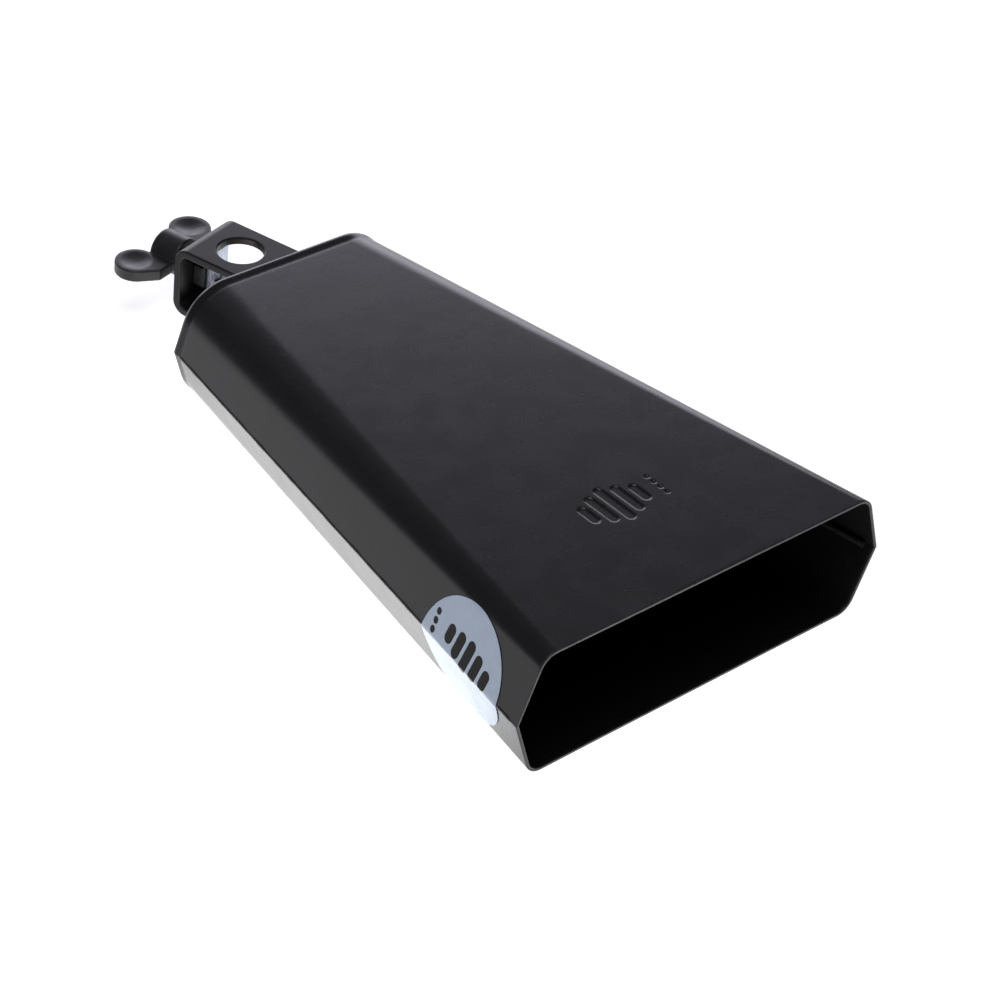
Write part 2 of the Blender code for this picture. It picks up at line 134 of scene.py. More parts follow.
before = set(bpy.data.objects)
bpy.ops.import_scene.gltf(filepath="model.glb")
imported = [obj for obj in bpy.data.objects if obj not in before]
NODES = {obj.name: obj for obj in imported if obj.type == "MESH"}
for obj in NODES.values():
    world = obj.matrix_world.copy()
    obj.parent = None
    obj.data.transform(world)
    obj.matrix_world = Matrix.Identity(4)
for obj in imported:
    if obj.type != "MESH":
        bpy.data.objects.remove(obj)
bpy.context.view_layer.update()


def mix(start, finish, share):
    """The value a share of the way from start to finish."""
    return start + (finish - start) * share


def middle_height(y):
    """Height of the seam plane, half way up the bell."""
    return MOUTH_HEIGHT / 2 + MID_SLOPE * (y - MOUTH_Y)


# ---------------------------------------------------------------- materials

class Look:
    """A node material under construction, on one Principled shader."""

    def __init__(self, name, roughness, metallic=0.0, ior=1.5, coat=0.0):
        self.material = bpy.data.materials.new(name)
        self.material.use_nodes = True
        self.tree = self.material.node_tree
        self.shader = self.tree.nodes["Principled BSDF"]
        self.shader.inputs["Roughness"].default_value = roughness
        self.shader.inputs["Metallic"].default_value = metallic
        self.shader.inputs["IOR"].default_value = ior
        self.shader.inputs["Coat Weight"].default_value = coat
        self.place = self.node("ShaderNodeTexCoord").outputs["Object"]

    def node(self, kind, **settings):
        made = self.tree.nodes.new(kind)
        for key, value in settings.items():
            setattr(made, key, value)
        return made

    def link(self, source, target):
        self.tree.links.new(source, target)

    def noise(self, scale, detail=3.0, rough=0.55, stretch=None):
        """Noise in the object's own space, drawn out by an optional stretch."""
        place = self.place
        if stretch:
            mapping = self.node("ShaderNodeMapping")
            mapping.inputs["Scale"].default_value = stretch
            self.link(place, mapping.inputs["Vector"])
            place = mapping.outputs["Vector"]
        made = self.node("ShaderNodeTexNoise")
        made.inputs["Scale"].default_value = scale
        made.inputs["Detail"].default_value = detail
        made.inputs["Roughness"].default_value = rough
        self.link(place, made.inputs["Vector"])
        return made.outputs["Fac"]

    def span(self, source, low, high, start=0.3, stop=0.7):
        """Map a socket's values from start..stop to low..high."""
        made = self.node("ShaderNodeMapRange")
        made.inputs["From Min"].default_value = start
        made.inputs["From Max"].default_value = stop
        made.inputs["To Min"].default_value = low
        made.inputs["To Max"].default_value = high
        self.link(source, made.inputs["Value"])
        return made.outputs["Result"]

    def blend(self, factor, first, second):
        """Mix two colours, each a tuple or a socket, by a socket."""
        made = self.node("ShaderNodeMix", data_type="RGBA")
        self.link(factor, made.inputs["Factor"])
        sockets = [s for s in made.inputs if s.type == "RGBA"]
        for socket, value in zip(sockets, (first, second)):
            if isinstance(value, tuple):
                socket.default_value = (*value, 1.0)
            else:
                self.link(value, socket)
        return [s for s in made.outputs if s.type == "RGBA"][0]

    def multiply(self, first, second):
        made = self.node("ShaderNodeMath", operation="MULTIPLY")
        self.link(first, made.inputs[0])
        self.link(second, made.inputs[1])
        return made.outputs[0]

    def attribute(self, name):
        """A value stored on the mesh."""
        return self.node("ShaderNodeAttribute", attribute_name=name).outputs["Fac"]

    def bump(self, layers):
        """Stack bumps from (height socket, strength, distance) layers."""
        normal = None
        for height, strength, distance in layers:
            made = self.node("ShaderNodeBump")
            made.inputs["Strength"].default_value = strength
            made.inputs["Distance"].default_value = distance
            self.link(height, made.inputs["Height"])
            if normal:
                self.link(normal, made.inputs["Normal"])
            normal = made.outputs["Normal"]
        self.link(normal, self.shader.inputs["Normal"])


def powder_coat(name, roughness=0.27, colour=(0.0105, 0.0105, 0.0125),
                edge_wear_and_highlight=(0.055, 0.055, 0.060), specular=0.34):
    """Satin powder coat: fine orange peel, faint mottling, and a lighter colour along marked edges,
    which is coat wear on the strap, coat wear and painted highlight on the bell's mouth rim, and
    painted highlight on the bell's closed-end fold.
    """
    look = Look(name, roughness, ior=1.52)
    look.shader.inputs["Specular IOR Level"].default_value = specular
    mottled = look.blend(look.span(look.noise(35), 0.0, 1.0),
                         colour, tuple(c * 1.15 for c in colour))
    # Lighter colour where the edge attribute is set: painted highlight and coat wear on the bell's
    # rim, painted highlight on its fold, coat wear on the strap.
    edge_lightening = look.multiply(look.attribute("edge"), look.span(look.noise(260), 0.25, 1.0))
    look.link(look.blend(edge_lightening, mottled, edge_wear_and_highlight), look.shader.inputs["Base Color"])
    look.link(look.span(look.noise(90), roughness - 0.012, roughness + 0.018),
              look.shader.inputs["Roughness"])
    look.bump([(look.noise(1100, 2.0), 0.20, 0.00006), (look.noise(160, 2.0), 0.12, 0.00020)])
    return look.material


def inside_painted_shade(name):
    """Matt coat inside the bell, its colour darkened as painted shade for the hollow."""
    look = Look(name, 0.75, ior=1.4)
    look.shader.inputs["Specular IOR Level"].default_value = 0.2
    # Near-black colour: painted shade inside the bell, darker than the coat's own colour.
    look.link(look.blend(look.span(look.noise(60), 0.0, 1.0), (0.0010, 0.0010, 0.0012),
                         (0.0025, 0.0025, 0.0027)), look.shader.inputs["Base Color"])
    look.link(look.span(look.noise(500), 0.65, 0.85), look.shader.inputs["Roughness"])
    look.bump([(look.noise(1500, 3.0), 0.3, 0.00008)])
    return look.material


def weld_coat(name):
    """Coated weld metal: coarser texture than the pressed sheet."""
    look = Look(name, 0.34, ior=1.52)
    look.link(look.blend(look.span(look.noise(150), 0.0, 1.0), (0.010, 0.010, 0.011),
                         (0.022, 0.021, 0.021)), look.shader.inputs["Base Color"])
    look.link(look.span(look.noise(420), 0.26, 0.46), look.shader.inputs["Roughness"])
    look.bump([(look.noise(900, 4.0), 0.45, 0.00016)])
    return look.material


def moulded_black(name):
    """Cast wing head with a matt coat and a fine pebbled grain."""
    look = Look(name, 0.40, ior=1.48)
    mottled = look.blend(look.span(look.noise(120), 0.0, 1.0), (0.013, 0.013, 0.015),
                         (0.021, 0.021, 0.024))
    edge_lightening = look.multiply(look.attribute("edge"), look.span(look.noise(500), 0.0, 0.8))
    look.link(look.blend(edge_lightening, mottled, (0.07, 0.07, 0.075)), look.shader.inputs["Base Color"])
    look.link(look.span(look.noise(300), 0.33, 0.47), look.shader.inputs["Roughness"])
    look.bump([(look.noise(1300, 3.0), 0.35, 0.00010), (look.noise(260, 2.0), 0.2, 0.0003)])
    return look.material


def bright_zinc(name, stretch):
    """Zinc plate with drawn scratches along one direction and dull patches."""
    look = Look(name, 0.25, metallic=1.0)
    look.link(look.blend(look.span(look.noise(400, stretch=stretch), 0.0, 1.0),
                         (0.22, 0.24, 0.29), (0.46, 0.49, 0.56)), look.shader.inputs["Base Color"])
    look.link(look.span(look.noise(180), 0.18, 0.40), look.shader.inputs["Roughness"])
    look.bump([(look.noise(1500, 3.0, stretch=stretch), 0.35, 0.00008)])
    return look.material


def label_film(name):
    """Glossy printed vinyl, with a faint paper-like mottle."""
    look = Look(name, 0.24, ior=1.45, coat=0.12)
    look.shader.inputs["Coat Roughness"].default_value = 0.12
    look.link(look.blend(look.span(look.noise(240), 0.0, 1.0), (0.42, 0.505, 0.635),
                         (0.45, 0.54, 0.675)), look.shader.inputs["Base Color"])
    look.link(look.span(look.noise(140), 0.18, 0.30), look.shader.inputs["Roughness"])
    look.bump([(look.noise(320, 2.0), 0.15, 0.00012)])
    return look.material


def label_ink(name):
    """Matt black print with a faint grain."""
    look = Look(name, 0.3, ior=1.4)
    look.shader.inputs["Specular IOR Level"].default_value = 0.2
    look.link(look.blend(look.span(look.noise(900), 0.0, 1.0), (0.008, 0.008, 0.009),
                         (0.016, 0.016, 0.017)), look.shader.inputs["Base Color"])
    look.link(look.span(look.noise(300), 0.24, 0.38), look.shader.inputs["Roughness"])
    look.bump([(look.noise(1500, 2.0), 0.2, 0.00004)])
    return look.material


def hole_wall(name):
    """Thin, browned coat on the drilled wall."""
    look = Look(name, 0.42, ior=1.5)
    drawn = look.span(look.noise(500, stretch=(1, 1, 0.2)), 0.0, 1.0)
    look.link(look.blend(drawn, (0.020, 0.015, 0.012), (0.085, 0.065, 0.055)),
              look.shader.inputs["Base Color"])
    look.link(look.span(look.noise(600), 0.3, 0.55), look.shader.inputs["Roughness"])
    look.bump([(look.noise(1600, 3.0, stretch=(1, 1, 0.15)), 0.4, 0.0001)])
    return look.material


def studio_floor(name):
    """Pale table, lit softly from below around the object."""
    look = Look(name, 0.9)
    look.shader.inputs["Specular IOR Level"].default_value = 0.1
    look.link(look.blend(look.span(look.noise(3), 0.0, 1.0), (0.90, 0.90, 0.90),
                         (0.92, 0.92, 0.92)), look.shader.inputs["Base Color"])
    squeeze = look.node("ShaderNodeMapping")
    squeeze.inputs["Scale"].default_value = (TABLE_SQUEEZE, 1.0, 1.0)
    look.link(look.place, squeeze.inputs["Vector"])
    away = look.node("ShaderNodeVectorMath", operation="LENGTH")
    look.link(squeeze.outputs["Vector"], away.inputs[0])
    glow = look.node("ShaderNodeMath", operation="ADD")
    falls = ((0.0, TABLE_HOT), (TABLE_FAR, TABLE_WIDE))
    for socket, (far, (level, inner, outer)) in zip(glow.inputs, falls):
        fall = look.span(away.outputs["Value"], level + far, far, inner, outer)
        fall.node.interpolation_type = "SMOOTHSTEP"
        look.link(fall, socket)
    look.shader.inputs["Emission Color"].default_value = (1.0, 1.0, 1.0, 1.0)
    look.link(glow.outputs[0], look.shader.inputs["Emission Strength"])
    return look.material


COAT = powder_coat("powder_coat")
STRAP_COAT = powder_coat("strap_coat", roughness=0.32, colour=(0.0085, 0.0085, 0.0100),
                         edge_wear_and_highlight=(0.110, 0.110, 0.118), specular=0.22)
INSIDE_PAINTED_SHADE = inside_painted_shade("inside_painted_shade_coat")
WELD = weld_coat("weld_coat")
MOULDED = moulded_black("moulded_black")


# ---------------------------------------------------------------- mesh helpers

def mesh_piece(name, verts, faces, material, body, edge=None):
    """A smooth-shaded piece with outward faces that rides on a body."""
    mesh = bpy.data.meshes.new(name)
    mesh.from_pydata([tuple(v) for v in verts], [], faces)
    mesh.validate()
    bm = bmesh.new()
    bm.from_mesh(mesh)
    bmesh.ops.recalc_face_normals(bm, faces=bm.faces)
    bm.to_mesh(mesh)
    bm.free()
    if edge is not None:
        layer = mesh.attributes.new("edge", "FLOAT", "POINT")
        layer.data.foreach_set("value", np.asarray(edge, np.float32))
    mesh.materials.append(material)
    mesh.shade_smooth()
    piece = bpy.data.objects.new(name, mesh)
    bpy.context.scene.collection.objects.link(piece)
    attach(piece, body)
    return piece


def baked(piece):
    """The piece's evaluated mesh, copied out."""
    bpy.context.view_layer.update()
    graph = bpy.context.evaluated_depsgraph_get()
    return bpy.data.meshes.new_from_object(piece.evaluated_get(graph))


def grid_faces(rows, columns, wrap=False):
    """Quads over rows of points, closed round each row if wrap is set."""
    faces = []
    last = columns if wrap else columns - 1
    for r in range(rows - 1):
        for c in range(last):
            a, b = r * columns + c, r * columns + (c + 1) % columns
            faces.append((a, b, b + columns, a + columns))
    return faces


def tube_caps(rows, sides):
    """The two end faces of a closed tube of rings."""
    return [list(range(sides)), [(rows - 1) * sides + k for k in range(sides)]]


def soften(piece, width, segments=2, angle=35):
    """Round the piece's sharp edges."""
    bevel = piece.modifiers.new("soft_edges", "BEVEL")
    bevel.width = width
    bevel.segments = segments
    bevel.limit_method = "ANGLE"
    bevel.angle_limit = math.radians(angle)
    weighted = piece.modifiers.new("even_shading", "WEIGHTED_NORMAL")
    weighted.keep_sharp = True


def wobble(point, scale, amount):
    """Smooth noise at a point, between minus and plus the amount."""
    return amount * noise.noise(Vector(point) * scale)


# ---------------------------------------------------------------- bell

def section_numbers(y, inset):
    """Seam x, side lean, bend start, bend radius and bend centre of the section at y."""
    share = (y - MOUTH_Y) / BELL_LENGTH
    width, flat = mix(MOUTH_WIDTH, END_WIDTH, share), mix(MOUTH_FLAT, END_FLAT, share)
    height = mix(MOUTH_HEIGHT, END_HEIGHT, share)
    lean = (width - flat) / height
    steep = math.hypot(1, lean)
    start = math.atan(lean)
    half_turn = (math.pi / 2 - start) / 2
    room = BEND_LIMIT * height / 2 * steep / math.tan(half_turn)
    radius = min(mix(MOUTH_BEND, END_BEND, share), room) - inset
    top = height / 2 - inset
    seam_x = width / 2 - inset * steep
    centre_x = seam_x - lean * top - radius * math.tan(half_turn)
    return seam_x, lean, start, radius, centre_x, top - radius


def section_columns(y, inset, flat_xs):
    """(x, rise) round half a section, from the right seam to the left one."""
    seam_x, lean, start, radius, centre_x, centre_z = section_numbers(y, inset)
    first = (seam_x - lean * SEAM_HAIRLINE, SEAM_HAIRLINE)
    bend = [(centre_x + radius * math.cos(a), centre_z + radius * math.sin(a))
            for a in np.linspace(start, math.pi / 2, BEND_STEPS)]
    panel = [(mix(first[0], bend[0][0], s), mix(first[1], bend[0][1], s))
             for s in np.linspace(0, 1, PANEL_STEPS)[:-1]]
    right = panel + bend
    top = centre_z + radius
    shares = np.linspace(0, 1, TOP_STEPS)[1:-1]
    before = [(mix(centre_x, flat_xs[0], s), top) for s in shares]
    middle = [(x, top) for x in flat_xs]
    after = [(mix(flat_xs[-1], -centre_x, s), top) for s in shares]
    return right + before + middle + after + [(-x, z) for x, z in reversed(right)]


def shell_path(dense):
    """(y, inset) stations from the inner end wall round the mouth rim to the outer end wall."""
    r = RIM_ROUNDING
    first, last = MOUTH_Y + RIM_LENGTH, END_Y - END_FOLD
    body = np.unique(np.concatenate([np.linspace(first, last, BODY_ROWS), dense]))
    quarter = np.linspace(0, math.pi / 2, ROUNDING_STEPS)
    inner_fold = END_FOLD - SHEET
    lip = np.linspace(END_Y - LIP_ZONE, last, LIP_ROWS)
    outer = [(y, -lip_rise(y)) for y in np.unique(np.concatenate([body, lip]))]
    inner = [(y, SHEET) for y in np.linspace(first, last, INNER_ROWS)]
    rim_out = [(MOUTH_Y + r - r * math.cos(a), r - r * math.sin(a)) for a in quarter]
    rim_in = [(y, SHEET - inset) for y, inset in reversed(rim_out)]
    fold_out = [(last + END_FOLD * math.sin(a),
                 END_FOLD - (END_FOLD + LIP_RISE) * math.cos(a)) for a in quarter[1:]]
    fold_in = [(last + inner_fold * math.sin(a), SHEET + inner_fold * (1 - math.cos(a)))
               for a in quarter[1:]]
    return fold_in[::-1] + inner[::-1] + rim_in + rim_out + outer + fold_out


def lip_rise(y):
    """The closed end's raised lip, with a shallow crease before it."""
    lip = LIP_RISE * math.exp(-((y - END_Y + END_FOLD) / LIP_SPREAD) ** 2)
    crease = CREASE_DEPTH * math.exp(-((y - END_Y + CREASE_BACK) / CREASE_SPREAD) ** 2)
    return lip - crease


def bar_distance(x, y, centre, half_length, radius):
    """Distance to a bar with round ends that lies along y."""
    along = max(0.0, abs(y - centre[1]) - (half_length - radius))
    return math.hypot(x - centre[0], along) - radius


# A generic mark: five bars like a level meter, and a row of dots.
MARK_BARS = [(-0.0110, 0.0045), (-0.0055, 0.0072), (0.0, 0.0092),
             (0.0055, 0.0072), (0.0110, 0.0045)]
MARK_BAR_RADIUS = 0.00165
MARK_DOTS = [(0.0185, y) for y in (-0.0048, -0.0016, 0.0016, 0.0048)]
MARK_DOT_RADIUS = 0.0008


def mark_sink(x, y):
    """How deep the mark is pressed at a place on the flat."""
    px, py = x - MARK_CENTRE.x, y - MARK_CENTRE.y
    if abs(px) > MARK_REACH[0] or abs(py) > MARK_REACH[1]:
        return 0.0
    near = min(bar_distance(px, py, (cx, 0), half, MARK_BAR_RADIUS) for cx, half in MARK_BARS)
    near = min(near, min(math.hypot(px - cx, py - cy) for cx, cy in MARK_DOTS) - MARK_DOT_RADIUS)
    share = min(1.0, max(0.0, 0.5 - near / MARK_EDGE))
    return MARK_DEPTH * share * share * (3 - 2 * share)


def shell_points(path, flat_xs, side, marked):
    """Points round every station, and how much lighter edge colour each gets: coat wear and painted
    highlight at the mouth rim, painted highlight at the closed end's fold.
    """
    verts, wear_and_highlight = [], []
    for y, inset in path:
        # Rim: lighter colour, partly coat wear and partly painted highlight. Fold: painted highlight
        # along the closed end's fold.
        rim = max(0.0, 1 - (y - MOUTH_Y) / RIM_WEAR_AND_HIGHLIGHT_LENGTH) if inset < SHEET else 0.0
        fold = max(0.0, (y - END_Y + FOLD_HIGHLIGHT_LENGTH) / FOLD_HIGHLIGHT_LENGTH) * FOLD_HIGHLIGHT
        pressed = marked and inset == -lip_rise(y)
        for x, rise in section_columns(y, inset, flat_xs):
            sink = mark_sink(x, y) if pressed else 0.0
            drift = wobble((x, y, side * 0.3), DRIFT_SCALE, DRIFT) * min(1, rise / DRIFT_FREE_HEIGHT)
            verts.append((x, y, middle_height(y) + side * (rise - sink + drift)))
            wear_and_highlight.append(min(1.0, rim + fold))
    return verts, wear_and_highlight


def half_shell(name, side, marked):
    """One half of the bell: sheet, rim, folded closed end, and the pressed mark on top."""
    if marked:
        flat_xs = list(np.arange(FLAT_HALF, MARK_FLAT_END, -MARK_STEP))
        dense = np.arange(MARK_CENTRE.y - MARK_ROWS_HALF, MARK_CENTRE.y + MARK_ROWS_HALF, MARK_STEP)
    else:
        flat_xs = list(np.linspace(FLAT_HALF, -FLAT_HALF, PLAIN_FLAT_COLUMNS))
        dense = np.array([0.0])
    path = shell_path(dense)
    verts, wear_and_highlight = shell_points(path, flat_xs, side, marked)
    rows = len(path)
    columns = len(verts) // rows
    inner_ring = list(range(columns))
    outer_ring = [(rows - 1) * columns + c for c in range(columns)]
    faces = grid_faces(rows, columns) + [inner_ring, outer_ring]
    faces.append([outer_ring[0], outer_ring[-1], inner_ring[-1], inner_ring[0]])
    faces.append([r * columns for r in range(rows)])
    faces.append([r * columns + columns - 1 for r in range(rows)])
    shell = mesh_piece(name + "_look", verts, faces, COAT, "bell", edge=wear_and_highlight)
    shell.data.materials.append(INSIDE_PAINTED_SHADE)
    inside_rows = sum(1 for y, inset in path[:rows // 2] if inset >= SHEET * 0.99)
    # Inner faces deeper than that get the darkened inside material, painted shade for the bell's
    # hollow.
    for polygon in shell.data.polygons:
        deep = polygon.center.y > MOUTH_Y + PAINTED_SHADE_FROM_RIM
        if max(polygon.vertices) < inside_rows * columns and deep:
            polygon.material_index = 1
    shell.data.set_sharp_from_angle(angle=SHARP_SHEET)
    weighted = shell.modifiers.new("even_shading", "WEIGHTED_NORMAL")
    weighted.keep_sharp = True
    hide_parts(name)


def seam_point(side, along, lift=0.0):
    """A point on the outer seam line, along metres from the mouth, and its outward direction."""
    start = Vector((side * MOUTH_WIDTH / 2, MOUTH_Y, middle_height(MOUTH_Y)))
    finish = Vector((side * END_WIDTH / 2, END_Y, middle_height(END_Y)))
    direction = (finish - start).normalized()
    outward = Vector((side * direction.y, -side * direction.x, 0)).normalized()
    return start + direction * along + outward * lift, outward


def seam_ridge(name, side):
    """Low uneven ridge of weld and coat over the closed seam."""
    start, stop = RIDGE_FROM_MOUTH, BELL_LENGTH - RIDGE_FROM_END
    verts = []
    for i in range(RIDGE_ROWS):
        along = mix(start, stop, i / (RIDGE_ROWS - 1))
        fade = min(1.0, (along - start) / RIDGE_FADE, (stop - along) / RIDGE_FADE)
        size = RIDGE_SIZE + RIDGE_SWELL * noise.noise(Vector((along * 150, side * 5, 0)))
        size += RIDGE_GRAIN * noise.noise(Vector((along * 420, side * 9, 3)))
        size *= max(0.15, fade)
        if side < 0:
            beside = abs(along - LABEL_FROM_MOUTH) - LABEL_RADIUS
            low = RIDGE_UNDER_LABEL
            size *= min(1.0, max(low, low + beside / RIDGE_FADE))
        point, outward = seam_point(side, along, -RIDGE_SUNK)
        shift = RIDGE_SHIFT * noise.noise(Vector((along * 90, side * 2, 7)))
        for k in range(RIDGE_SIDES):
            angle = 2 * math.pi * k / RIDGE_SIDES
            height = RIDGE_TALL * size * math.sin(angle) + shift
            verts.append(point + outward * (size * math.cos(angle)) + Vector((0, 0, height)))
    faces = grid_faces(RIDGE_ROWS, RIDGE_SIDES, wrap=True) + tube_caps(RIDGE_ROWS, RIDGE_SIDES)
    mesh_piece(name, verts, faces, WELD, "bell")


def lumpy_bead(name, start, finish, radius, node, seed):
    """A weld bead with the ripples of its passes, in place of its plain stand-in."""
    direction = (finish - start).normalized()
    across = direction.orthogonal().normalized()
    other = direction.cross(across)
    length = (finish - start).length
    verts = []
    for i in range(BEAD_ROWS):
        share = i / (BEAD_ROWS - 1)
        centre = start.lerp(finish, share)
        from_end = min(share, 1 - share) * length / radius
        cap = min(1.0, math.sqrt(max(0.0, 1 - max(0, 1 - from_end) ** 2)))
        ripple = 1 + BEAD_RIPPLE * math.sin(share * length / BEAD_RIPPLE_PITCH * 2 * math.pi)
        lump = 1 + BEAD_LUMPS * noise.noise(centre * 300 + Vector((seed, 0, 0)))
        size = radius * max(0.05, cap) * ripple * lump
        for k in range(BEAD_SIDES):
            angle = 2 * math.pi * k / BEAD_SIDES
            verts.append(centre + (across * math.cos(angle) + other * math.sin(angle)) * size)
    faces = grid_faces(BEAD_ROWS, BEAD_SIDES, wrap=True) + tube_caps(BEAD_ROWS, BEAD_SIDES)
    bead = mesh_piece(name, verts, faces, WELD, "bell")
    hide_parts(node)


def bracket_weld(node, seed):
    """A bead along the middle of the plain weld's box."""
    low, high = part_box(node)
    centre = (low + high) / 2
    lumpy_bead(node + "_look", Vector((low.x, centre.y, centre.z)),
               Vector((high.x, centre.y, centre.z)), (high.z - low.z) / 2, node, seed)


# ---------------------------------------------------------------- label

def wrapped(along, rise, lift):
    """A place on the left side, rise metres round the section from the seam (minus is down)."""
    seam, outward = seam_point(-1, along)
    y = seam.y
    seam_x, lean, start, radius, centre_x, centre_z = section_numbers(y, 0.0)
    steep = math.hypot(1, lean)
    straight = math.hypot(seam_x - centre_x - radius * math.cos(start),
                          centre_z + radius * math.sin(start))
    reach = abs(rise)
    if reach <= straight:
        x = seam_x - reach * lean / steep
        z = reach / steep
        soft = min(1.0, reach / 0.0012)
        normal = Vector((-1 / steep, 0, lean / steep * soft)).normalized()
    else:
        angle = start + (reach - straight) / radius
        x = centre_x + radius * math.cos(angle)
        z = centre_z + radius * math.sin(angle)
        normal = Vector((-math.cos(angle), 0, math.sin(angle)))
    sign = -1 if rise < 0 else 1
    taper = outward.y * 0.9
    facing = Vector((normal.x, taper * abs(normal.x), sign * normal.z)).normalized()
    return Vector((-x, y, middle_height(y) + sign * z)) + facing * lift


def label_disc():
    """The label's film, two layers of rings joined round the rim."""
    rings, spokes = LABEL_RINGS, LABEL_SPOKES
    verts, faces = [], []
    for lift in (LABEL_LIFT, LABEL_LIFT + LABEL_FILM):
        base = len(verts)
        verts.append(wrapped(LABEL_FROM_MOUTH, -LABEL_DROP, lift))
        for ring in range(1, rings + 1):
            size = LABEL_RADIUS * ring / rings
            for k in range(spokes):
                angle = 2 * math.pi * k / spokes
                verts.append(wrapped(LABEL_FROM_MOUTH + size * math.sin(angle),
                                     size * math.cos(angle) - LABEL_DROP, lift))
        faces += [(base, base + 1 + k, base + 1 + (k + 1) % spokes) for k in range(spokes)]
        faces += [tuple(base + 1 + i for i in f) for f in grid_faces(rings, spokes, wrap=True)]
    inner = 1 + (rings - 1) * spokes
    outer = inner + 1 + rings * spokes
    for k in range(spokes):
        following = (k + 1) % spokes
        faces.append((inner + k, inner + following, outer + following, outer + k))
    disc = mesh_piece("label_disc", verts, faces, label_film("label_film"), "bell")
    disc.data.set_sharp_from_angle(angle=SHARP_SHEET)
    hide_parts("round_label")


def printed_bar(index, centre, half_length, radius, ink, turn):
    """One bar of the print, a thin slab that follows the label."""
    columns, straight = PRINT_COLUMNS, half_length - radius
    cap = straight + radius * np.sin(np.linspace(0, math.pi / 2, PRINT_CAP_ROWS))
    stations = np.unique(np.concatenate([-cap, np.linspace(-straight, straight, PRINT_ROWS), cap]))
    rows = len(stations)
    verts = []
    for lift in (LABEL_LIFT + LABEL_FILM * 0.5, LABEL_LIFT + LABEL_FILM + PRINT_ABOVE_FILM):
        for v in stations:
            over = max(0.0, abs(v) - straight)
            half_width = max(0.00005, math.sqrt(max(0.0, radius * radius - over * over)))
            for u in np.linspace(-half_width, half_width, columns):
                along = centre[0] + u * math.cos(turn) - v * math.sin(turn)
                rise = centre[1] + u * math.sin(turn) + v * math.cos(turn)
                verts.append(wrapped(along, rise, lift))
    count = rows * columns
    low = grid_faces(rows, columns)
    faces = low + [tuple(i + count for i in f) for f in low]
    ring = list(range(columns)) + [r * columns + columns - 1 for r in range(1, rows)]
    ring += [(rows - 1) * columns + c for c in range(columns - 2, -1, -1)]
    ring += [r * columns for r in range(rows - 2, 0, -1)]
    faces += [(a, b, b + count, a + count) for a, b in zip(ring, ring[1:] + ring[:1])]
    mesh_piece(f"label_print_{index}", verts, faces, ink, "bell")


def label_print():
    """The generic print: five bars and three dots."""
    ink = label_ink("label_ink")
    slope = Vector((math.cos(PRINT_TURN), math.sin(PRINT_TURN)))
    for index, (shift, half) in enumerate(PRINT_BARS):
        place = PRINT_CENTRE + slope * (shift * PRINT_SPREAD)
        printed_bar(index, place, half, PRINT_BAR_RADIUS, ink, PRINT_TURN)
    for index, place in enumerate(PRINT_DOTS, len(PRINT_BARS)):
        printed_bar(index, place, PRINT_DOT_HALF, PRINT_DOT_RADIUS, ink, 0.0)


# ---------------------------------------------------------------- clamp

CLAMP = Matrix.Translation((BRACKET_SHIFT, END_Y, middle_height(END_Y))) @ \
    Matrix.Rotation(BRACKET_YAW, 4, "Z")


def clamp_points(points):
    """Points of the clamp's own frame, whose +Y is the screw's axis, in the world."""
    return [CLAMP @ Vector(p) for p in points]


def strap_line(radius_cut):
    """(axial, height) along the strap, radius_cut inside its outer face."""
    half = BRACKET_HEIGHT / 2
    radius = STRAP_BEND - radius_cut
    points = []
    for centre_z, first in ((half - STRAP_BEND, math.pi / 2), (STRAP_BEND - half, 0)):
        for a in np.linspace(first, first - math.pi / 2, 21):
            points.append((BRACKET_DEPTH - STRAP_BEND + radius * math.cos(a),
                           centre_z + radius * math.sin(a)))
    return points


def hole_cutter(name, radius, depth, centre, along_axis):
    """A cylinder along the screw's axis, or else upright, to cut a hole with."""
    bm = bmesh.new()
    turn = Matrix.Rotation(math.pi / 2, 4, "X") if along_axis else Matrix.Identity(4)
    bmesh.ops.create_cone(bm, cap_ends=True, segments=96, radius1=radius, radius2=radius,
                          depth=depth, matrix=CLAMP @ Matrix.Translation(centre) @ turn)
    mesh = bpy.data.meshes.new(name)
    bm.to_mesh(mesh)
    bm.free()
    item = bpy.data.objects.new(name, mesh)
    bpy.context.scene.collection.objects.link(item)
    return item


def strap_ring(x, outer, inner):
    """The strap's outline at one edge, cut to the slant of the end wall."""
    half = BRACKET_HEIGHT / 2
    start = -x * math.tan(BRACKET_YAW) + 0.0001
    ring = [(x, start, half)] + [(x, y, z) for y, z in outer] + [(x, start, -half)]
    ring += [(x, start, STRAP_THICKNESS - half)] + [(x, y, z) for y, z in reversed(inner)]
    return ring + [(x, start, half - STRAP_THICKNESS)]


def cut_holes(strap):
    """Cut the rod holes and the screw hole, round the edges, and keep the result."""
    rod_depth = 2 * BRACKET_HEIGHT
    cutters = [hole_cutter("rod_cut", ROD_HOLE_RADIUS, rod_depth, (0, ROD_HOLE_DEPTH, 0), False),
               hole_cutter("screw_cut", SCREW_HOLE_RADIUS, 0.02, (0, BRACKET_DEPTH, 0), True)]
    for item in cutters:
        cut = strap.modifiers.new("hole", "BOOLEAN")
        cut.operation = "DIFFERENCE"
        cut.solver = "EXACT"
        cut.object = item
    soften(strap, STRAP_EDGE, 4)
    mesh = baked(strap)
    mesh.name = "bracket_look"
    strap.modifiers.clear()
    strap.data = mesh
    for item in cutters:
        bpy.data.objects.remove(item, do_unlink=True)


